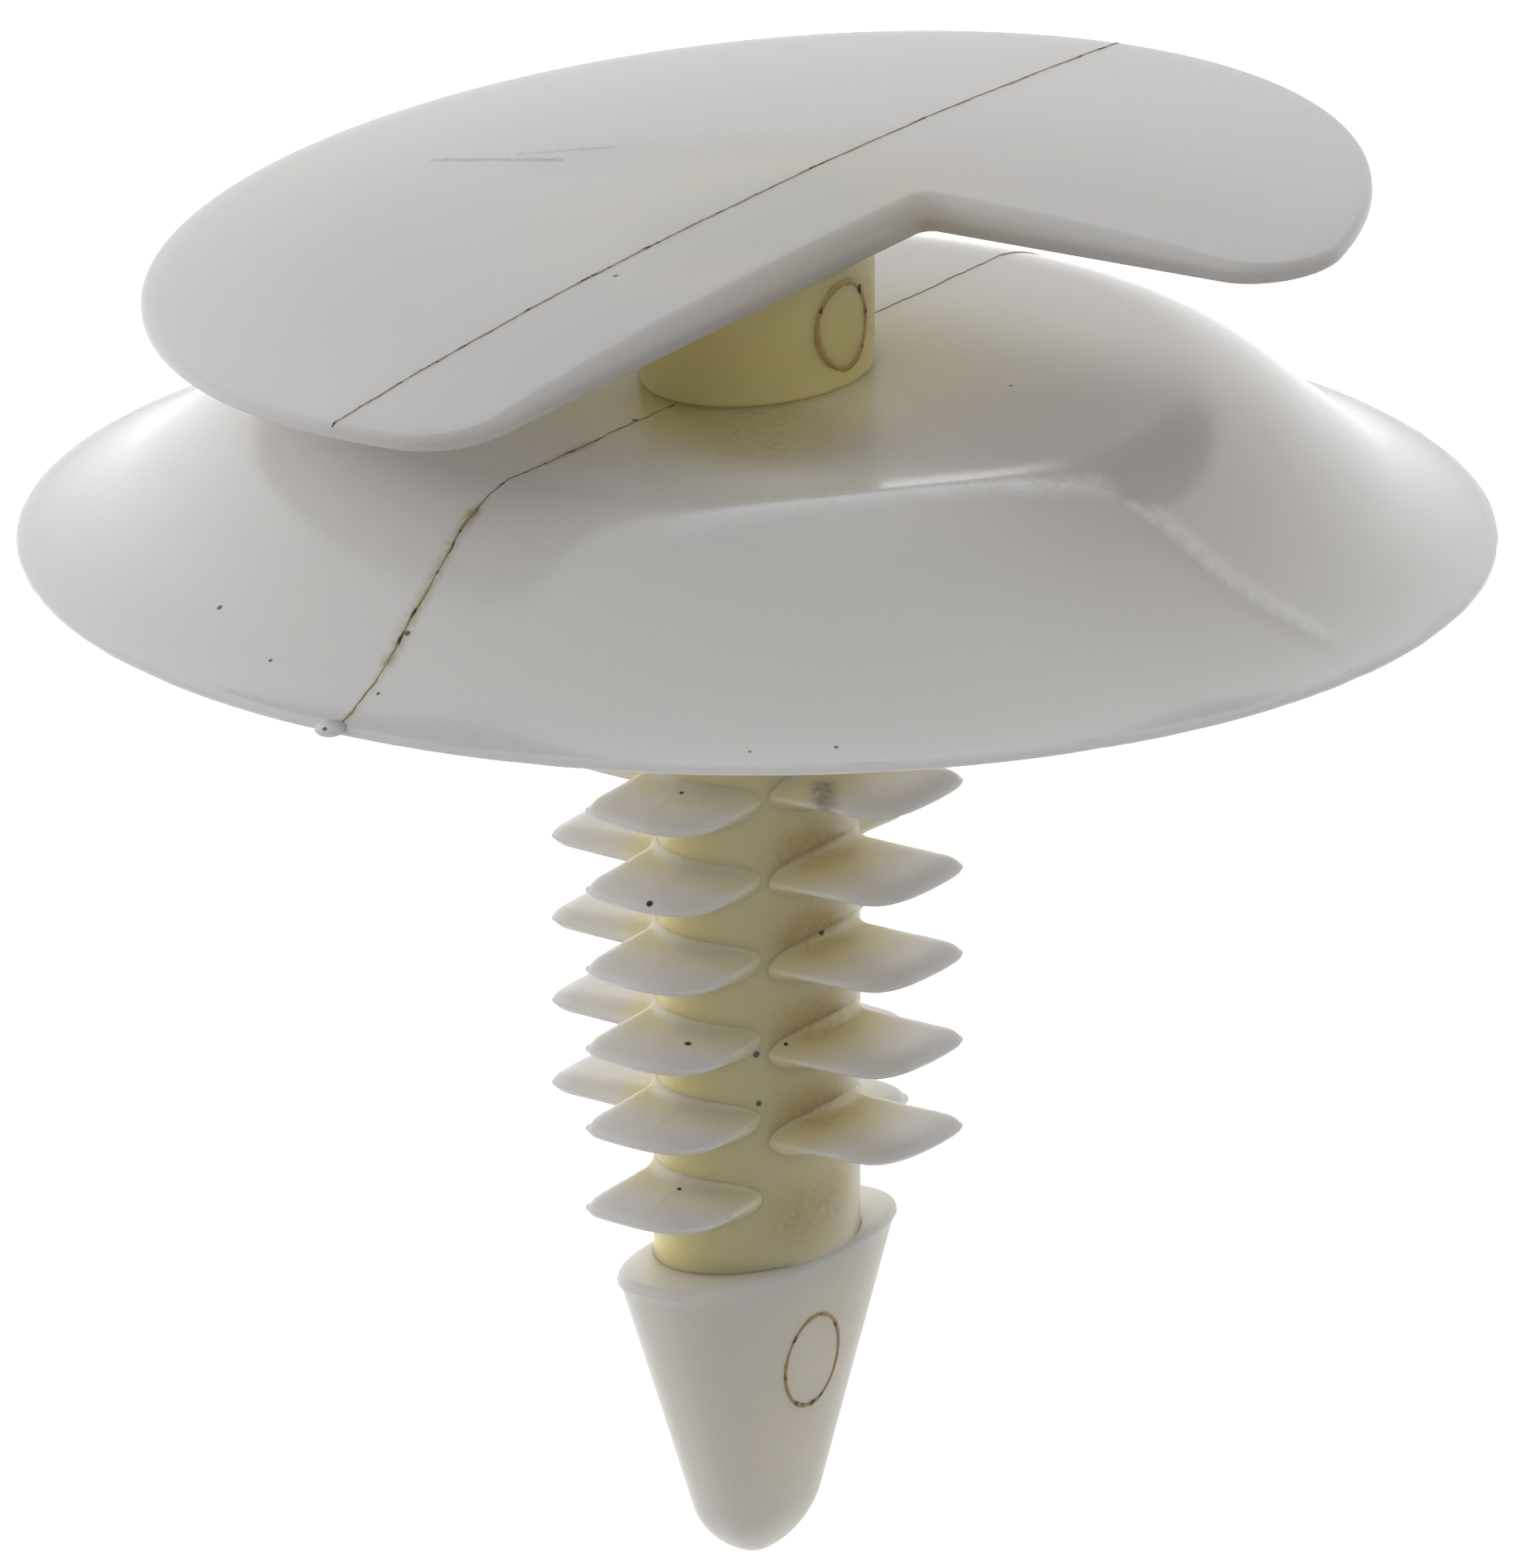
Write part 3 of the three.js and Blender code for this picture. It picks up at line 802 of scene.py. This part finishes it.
def gate_nub():
    """The torn-off gate on the rim, a lump with a rough end."""
    half_x, half_y, half_z = 0.27, 0.33, 0.13
    centre_y = -RIM_RADIUS - 0.1
    around = np.linspace(0, 2 * math.pi, 28, endpoint=False)
    rings = []
    for polar in np.linspace(0.15, math.pi - 0.15, 14):
        rough = 1 - 0.1 * (0.5 + 0.5 * wander(around * 3 + polar * 2, 21, 1.0))
        rings.append(np.column_stack([
            half_x * rough * math.sin(polar) * np.cos(around),
            centre_y + half_y * rough * math.cos(polar),
            RIM_EDGE + half_z * rough * math.sin(polar) * np.sin(around)]))
    points, faces = loft(rings, rings[0].mean(0), rings[-1].mean(0))
    grit = [((0.05, -RIM_RADIUS - 0.35, 0.22), 0.06)]
    piece = add_piece("gate_nub", points, faces, nylon("nylon_nub", by_radius(1, 2, 0.1), grit))
    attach(piece, "rim")


# ---------------------------------------------------------------- fins
def fin_edge_x(across, side, reach):
    """How far out the free edge lies at a distance across the fin, towards one side of it."""
    half, corner, _ = side
    centre = reach - FIN_EDGE_RADIUS
    corner_y = half - corner
    corner_x = centre + math.sqrt((FIN_EDGE_RADIUS - corner) ** 2 - corner_y ** 2)
    offset = np.abs(across)
    split = FIN_EDGE_RADIUS * math.sin(math.atan2(corner_y, corner_x - centre))
    on_arc = centre + np.sqrt(np.maximum(FIN_EDGE_RADIUS ** 2 - offset ** 2, 0))
    on_corner = corner_x + np.sqrt(np.maximum(corner ** 2 - (offset - corner_y) ** 2, 0))
    return np.where(offset <= split, on_arc, on_corner)


def nearness(gap, width):
    """0 further than width from an edge, 1 on it."""
    return np.clip(1 - gap / width, 0, 1)


def fin_plan(core, reach, root_half, low_side, high_side):
    """Places over a fin that points along +X: x, y, distance past the core's skin, and how near
    each is to a side and to the free edge."""
    seam = np.array([-0.06, -0.03, 0.0, 0.03, 0.06])
    v = np.unique(np.concatenate([np.sin(np.linspace(-1, 1, 41) * math.pi / 2), seam]))
    u = 0.5 * (1 - np.cos(np.linspace(0, 1, 30) * math.pi))
    v, u = np.meshgrid(v, u, indexing="ij")
    low = v < 0
    half = np.where(low, low_side[0], high_side[0])
    end_y = v * half
    end_x = np.where(low, fin_edge_x(end_y, low_side, reach), fin_edge_x(end_y, high_side, reach))
    root_y = v * root_half
    root_x = core[0] * np.sqrt(1 - (root_y / core[1]) ** 2)
    start_x = root_x - FIN_ROOT_DEPTH
    x = start_x + (end_x - start_x) * u
    y = root_y + (end_y - root_y) * u
    thinning = np.where(low, low_side[2], high_side[2])
    near_side = nearness(half * (1 - np.abs(v)), thinning)
    near_edge = nearness(np.maximum(end_x - x, 0), FIN_EDGE_ROUND)
    return x, y, x - root_x, near_side, near_edge


def sheet(x, y, top, bottom, turn):
    """Points and faces of the closed body between two grids of heights, turned about the axis."""
    rows, columns = x.shape
    cos, sin = math.cos(turn), math.sin(turn)
    points = []
    for z in (top, bottom):
        points += list(zip((x * cos - y * sin).ravel(), (x * sin + y * cos).ravel(), z.ravel()))

    def at(layer, i, j):
        return layer * rows * columns + i * columns + j

    faces = []
    for i in range(rows - 1):
        for j in range(columns - 1):
            faces.append((at(0, i, j), at(0, i + 1, j), at(0, i + 1, j + 1), at(0, i, j + 1)))
            faces.append((at(1, i, j), at(1, i, j + 1), at(1, i + 1, j + 1), at(1, i + 1, j)))
    border = [(i, 0) for i in range(rows - 1)]
    border += [(rows - 1, j) for j in range(columns - 1)]
    border += [(i, columns - 1) for i in range(rows - 1, 0, -1)]
    border += [(0, j) for j in range(columns - 1, 0, -1)]
    for k, here in enumerate(border):
        there = border[(k + 1) % len(border)]
        faces.append((at(0, *here), at(0, *there), at(1, *there), at(1, *here)))
    return points, faces


def fin(column, node, seed, material):
    """One fin, a lens-edged blade that grows out of the core with a fillet."""
    low, high = cad_range(node)
    turn, root_half, low_side, high_side, top_slope, bottom_slope = FIN_COLUMNS[column]
    turn = math.radians(turn)
    along_x = column in COLUMNS_ALONG_X
    axis = 0 if along_x else 1
    reach = max(abs(low[axis]), abs(high[axis]))
    core = CORE_HALF if along_x else CORE_HALF[::-1]
    top_rise = math.tan(math.radians(top_slope))
    bottom_drop = math.tan(math.radians(bottom_slope))
    root_x = core[0] * math.sqrt(1 - (root_half / core[1]) ** 2)
    level = high[2] - FIN_EDGE / 2 - top_rise * (reach - root_x)

    x, y, past_skin, near_side, near_edge = fin_plan(core, reach, root_half, low_side, high_side)
    near = np.minimum((near_side ** 3 + near_edge ** 3) ** (1 / 3), 1)
    rounding = LEAST_SHARE + (1 - LEAST_SHARE) * np.sqrt(1 - near ** 2)
    root = fillet(past_skin, FIN_FILLET) * np.sqrt(1 - near_side ** 2)
    inwards = reach - x
    middle = level + (top_rise - bottom_drop) / 2 * inwards
    thick = (FIN_EDGE + (top_rise + bottom_drop) * inwards) / 2 * rounding + root
    top = middle + thick + 0.006 * wander(x * 3 + y * 2, seed, 1.0)
    if not along_x:
        top = top + FLASH_HEIGHT * np.exp(-(y / 0.03) ** 2)
    points, faces = sheet(x, y, top, middle - thick, turn)

    piece = add_piece(node.replace("fin_", "flex_"), points, faces, material)
    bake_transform(piece)
    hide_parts(node)


def fin_flow(tree, place, parts):
    """A fin carries little light in its root, where it grows out of the core."""
    rooted = by_radius(2.0, 3.1, 0.75)(tree, place, parts)
    return math_node(tree, "SUBTRACT", 1.0, rooted)


def fin_amber(tree, place, parts):
    """A fin is yellow at its root, and in the left column only close to the core."""
    rooted = by_radius(1.7, 3.2, 0.66)(tree, place, parts)
    return math_node(tree, "MULTIPLY", rooted, fade(tree, parts[0], -1.2, -2.4))


def fin_shade(tree, place, parts):
    """Painted shade: darker at a fin's free edge, except on the left, and all over on a top one.
    """
    outer = by_radius(3.5, 2.7, 0.2)(tree, place, parts)
    edge = math_node(tree, "MULTIPLY", outer, fade(tree, parts[0], 0.5, -1.5))
    high = math_node(tree, "MULTIPLY", fade(tree, parts[2], -3.0, -4.6), 0.22)
    return math_node(tree, "ADD", edge, high, clamp=True)


def fins():
    """All fins, with grit, the smudge on the first right one, and brown painted shade at the right
    roots.
    """
    grit = [((0.14, -3.41, -5.49), 0.08), ((1.46, -0.22, -6.62), 0.1),
            ((0.42, -2.68, -8.13), 0.08), ((0.1, -2.4, -3.81), 0.05),
            ((0.05, -2.4, -10.88), 0.05), ((1.34, -1.1, -8.41), 0.05)]
    stains_and_painted_light = [((1.9, -0.8, -3.77), (2.33, -1.37, -3.95), 0.38, 0.6, SMUDGE)]
    # brown painted shade at the roots of the right fins
    for z in (-5.1, -6.6, -8.3, -9.85):
        stains_and_painted_light.append(((1.5, 0.0, z), (1.45, -0.5, z), 0.8, 0.5, PAINTED_SHADE_BROWN))
    material = nylon("nylon_fin", fin_amber, grit, stains_and_painted_light, fin_shade,
                     scatter=FIN_SCATTER, flow=fin_flow)
    nodes = [name for name in frame["nodes"] if name.startswith("fin_")]
    for seed, node in enumerate(sorted(nodes)):
        fin(node.split("_")[1], node, 40 + seed, material)


# ---------------------------------------------------------------- tip
def tip_point(angle, z, shrink=1.0):
    """A point of the tip's skin: a superellipse that tapers downwards."""
    cos, sin = math.cos(angle), math.sin(angle)
    square = (abs(cos) ** TIP_SQUARENESS + abs(sin) ** TIP_SQUARENESS) ** (-1 / TIP_SQUARENESS)
    half = TIP_HALF + TIP_TAPER * (z - LEDGE_Z)
    return (shrink * square * cos * half[0], shrink * square * sin * half[1], z)


def tip_rings():
    """Closed rings from the middle of the ledge, over its rounded edge, down to the end."""
    angles = np.linspace(0, 2 * math.pi, 128, endpoint=False)
    rounded = TIP_END_Z + TIP_ROUND_HEIGHT
    rings = []
    for share in (0.2, 0.4, 0.6, 0.75, 0.86):
        rings.append([(*tip_point(a, LEDGE_Z, share)[:2], LEDGE_Z) for a in angles])
    for turn in np.linspace(0, math.pi / 2, 7):
        inset = TIP_EDGE_ROUND * (1 - math.sin(turn))
        ring = np.array([tip_point(a, LEDGE_Z) for a in angles])
        scale = 1 - inset / np.linalg.norm(ring[:, :2], axis=1)
        ring[:, :2] *= scale[:, None]
        ring[:, 2] = LEDGE_Z - TIP_EDGE_ROUND * (1 - math.cos(turn))
        rings.append(ring)
    for z in np.linspace(LEDGE_Z - 0.22, rounded, 36):
        rings.append([tip_point(a, z) for a in angles])
    for turn in np.linspace(0, math.pi / 2, 16)[1:-1]:
        z = rounded - TIP_ROUND_HEIGHT * math.sin(turn)
        rings.append([tip_point(a, z, math.cos(turn)) for a in angles])
    return [np.asarray(ring) for ring in rings]


def tip_amber(tree, place, parts):
    """The tip is faintly yellow along its middle and towards the core."""
    near_axis = fade(tree, math_node(tree, "ABSOLUTE", parts[1]), 0.2, 2.8)
    high_up = fade(tree, parts[2], LEDGE_Z - 0.2, LEDGE_Z - 5.0)
    high_up = math_node(tree, "MULTIPLY", high_up, 0.12)
    return math_node(tree, "MULTIPLY_ADD", near_axis, 0.16, high_up)


def tip():
    """The lead-in tip, from the ledge below the core to the rounded end."""
    points, faces = loft(tip_rings(), (0, 0, LEDGE_Z), (0, 0, TIP_END_Z))
    piece = add_piece("lead_in_tip", points, faces, nylon("nylon_tip", tip_amber))
    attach(piece, "moulding")
    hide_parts("tip")


# ---------------------------------------------------------------- ejector pin marks
def tip_x(y, z):
    """How far out the +X side of the tip lies."""
    half_x, half_y = (TIP_HALF[k] + TIP_TAPER[k] * (z - LEDGE_Z) for k in (0, 1))
    share = np.minimum(np.abs(y) / half_y, 1)
    return half_x * (1 - share ** TIP_SQUARENESS) ** (1 / TIP_SQUARENESS)


def neck_x(y, z):
    """How far out the +X side of the neck lies."""
    return NECK_HALF[0] * np.sqrt(1 - (y / NECK_HALF[1]) ** 2)


def pin_mark(name, centre_z, radius, surface_x, size, colour):
    """The round witness of an ejector pin, a thin stained ring on the +X side."""
    around = np.linspace(0, 2 * math.pi, 121)
    y = 0.95 * radius * np.cos(around)
    z = centre_z + radius * np.sin(around) - 0.1 * y
    path = np.column_stack([surface_x(y, z), y, z])
    d = 0.01
    slope_y = (surface_x(y + d, z) - surface_x(y - d, z)) / (2 * d)
    slope_z = (surface_x(y, z + d) - surface_x(y, z - d)) / (2 * d)
    normals = np.column_stack([np.ones_like(y), -slope_y, -slope_z])
    normals /= np.linalg.norm(normals, axis=1)[:, None]
    width = size * (1 + 0.4 * wander(around * radius, 31, 6.0))
    material = dirt("stain_" + name, colour, -0.05)
    piece = bead(name, path, normals, width, FLASH_HEIGHT, FLASH_SINK, material)
    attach(piece, "moulding")


# ---------------------------------------------------------------- stage, light and camera
FLOOR_Z = -40                       # mm
FLOOR_HALF = 1500                   # mm
WORLD_LIGHT = 0.41                  # strength of the surroundings
WORLD_SLANT = 0.22                  # and how much it grows towards the direction below
BRIGHTER_TOWARDS = (-0.75, 0.45, -0.1)
MIRRORED_LIGHT = 1.35               # strength of the surroundings in reflections
LIGHT_TARGET = (0, 0, -3)
CAMERA_AZIMUTH = math.radians(34.4)
CAMERA_ELEVATION = math.radians(18.6)
CAMERA_DISTANCE = 1000.0            # mm
VIEW_WIDTH = 26.437                 # mm across the picture at the part
VIEW_CENTRE = (0.08, -4.11)         # of the picture, right of and above the origin, mm
SENSOR_WIDTH = 36                   # mm


def floor():
    """A pale floor that looks white and carries a little of the part's own shadow."""
    mesh = bpy.data.meshes.new("floor")
    corners = [(-1, -1), (1, -1), (1, 1), (-1, 1)]
    points = [(x * FLOOR_HALF * MM, y * FLOOR_HALF * MM, FLOOR_Z * MM) for x, y in corners]
    mesh.from_pydata(points, [], [(0, 1, 2, 3)])
    piece = bpy.data.objects.new("floor", mesh)
    SCENE.collection.objects.link(piece)
    material = bpy.data.materials.new("pale_floor")
    material.use_nodes = True
    tree = material.node_tree
    shader = tree.nodes["Principled BSDF"]
    shader.inputs["Base Color"].default_value = (0.8, 0.8, 0.8, 1)
    shader.inputs["Roughness"].default_value = 0.9
    shader.inputs["Emission Color"].default_value = (1, 1, 1, 1)
    paths = node_of(tree, "ShaderNodeLightPath").outputs
    seen = math_node(tree, "MAXIMUM", paths["Is Camera Ray"], paths["Is Glossy Ray"])
    tree.links.new(seen, shader.inputs["Emission Strength"])
    mesh.materials.append(material)


def world():
    """A white tent, brighter in reflections, and on one side in the light that it gives."""
    made = bpy.data.worlds.new("studio")
    made.use_nodes = True
    tree = made.node_tree
    background = tree.nodes["Background"]
    background.inputs["Color"].default_value = (1, 1, 1, 1)
    paths = node_of(tree, "ShaderNodeLightPath").outputs
    mirrored = math_node(tree, "MULTIPLY", paths["Is Glossy Ray"], MIRRORED_LIGHT)
    seen = math_node(tree, "MAXIMUM", paths["Is Camera Ray"], mirrored)
    towards = node_of(tree, "ShaderNodeVectorMath", operation="DOT_PRODUCT")
    tree.links.new(node_of(tree, "ShaderNodeTexCoord").outputs["Generated"], towards.inputs[0])
    towards.inputs[1].default_value = BRIGHTER_TOWARDS
    lit = math_node(tree, "MULTIPLY_ADD", towards.outputs["Value"], WORLD_SLANT, WORLD_LIGHT)
    tree.links.new(math_node(tree, "MAXIMUM", seen, lit), background.inputs["Strength"])
    SCENE.world = made


def area_light(name, place, size, power):
    """A soft round light at a place in mm, aimed at the stem, and not seen in reflections."""
    data = bpy.data.lights.new(name, "AREA")
    data.shape = "DISK"
    data.size = size * MM
    data.energy = power
    lamp = bpy.data.objects.new(name, data)
    lamp.location = Vector(place) * MM
    aim = Vector(LIGHT_TARGET) * MM - lamp.location
    lamp.rotation_euler = aim.to_track_quat("-Z", "Y").to_euler()
    lamp.visible_glossy = False
    SCENE.collection.objects.link(lamp)


def camera():
    """A long lens from the right of the front and a little above."""
    level = math.cos(CAMERA_ELEVATION)
    back = Vector((math.sin(CAMERA_AZIMUTH) * level, -math.cos(CAMERA_AZIMUTH) * level,
                   math.sin(CAMERA_ELEVATION)))
    right = Vector((math.cos(CAMERA_AZIMUTH), math.sin(CAMERA_AZIMUTH), 0))
    target = right * VIEW_CENTRE[0] + back.cross(right) * VIEW_CENTRE[1]
    data = bpy.data.cameras.new("camera")
    data.sensor_width = SENSOR_WIDTH
    data.lens = SENSOR_WIDTH * CAMERA_DISTANCE / VIEW_WIDTH
    data.clip_start = 10 * MM
    data.clip_end = 10
    eye = bpy.data.objects.new("camera", data)
    eye.location = (target + back * CAMERA_DISTANCE) * MM
    eye.rotation_euler = back.to_track_quat("Z", "Y").to_euler()
    SCENE.collection.objects.link(eye)
    SCENE.camera = eye


# ---------------------------------------------------------------- build
head()
head_seam()
neck()
umbrella()
umbrella_seam("umbrella_parting_line_front", -1, 7, (0.5, 0.44, 0.25), -0.01, 0.028)
umbrella_seam("umbrella_parting_line_back", 1, 13, (0.8, 0.76, 0.56), -0.3, 0.022)
rim_grime("rim_grime_front", -80, -67, 0.035)
rim_grime("rim_grime_side", -15, -4, 0.02)
rim_grime("rim_grime_right", 3, 17, 0.025)
gate_nub()
stem_core()
fins()
tip()
pin_mark("tip_pin_mark", -14.4, 0.83, tip_x, 0.05, (0.42, 0.24, 0.06))
pin_mark("neck_pin_mark", 4.15, 0.76, neck_x, 0.075, (0.66, 0.43, 0.12))

floor()
world()
area_light("key_from_left", (-250, -70, 5), 260, 0.29)
area_light("glow_from_behind", (-90, 250, 0), 320, 0.3)
camera()
SCENE.view_settings.view_transform = "Standard"
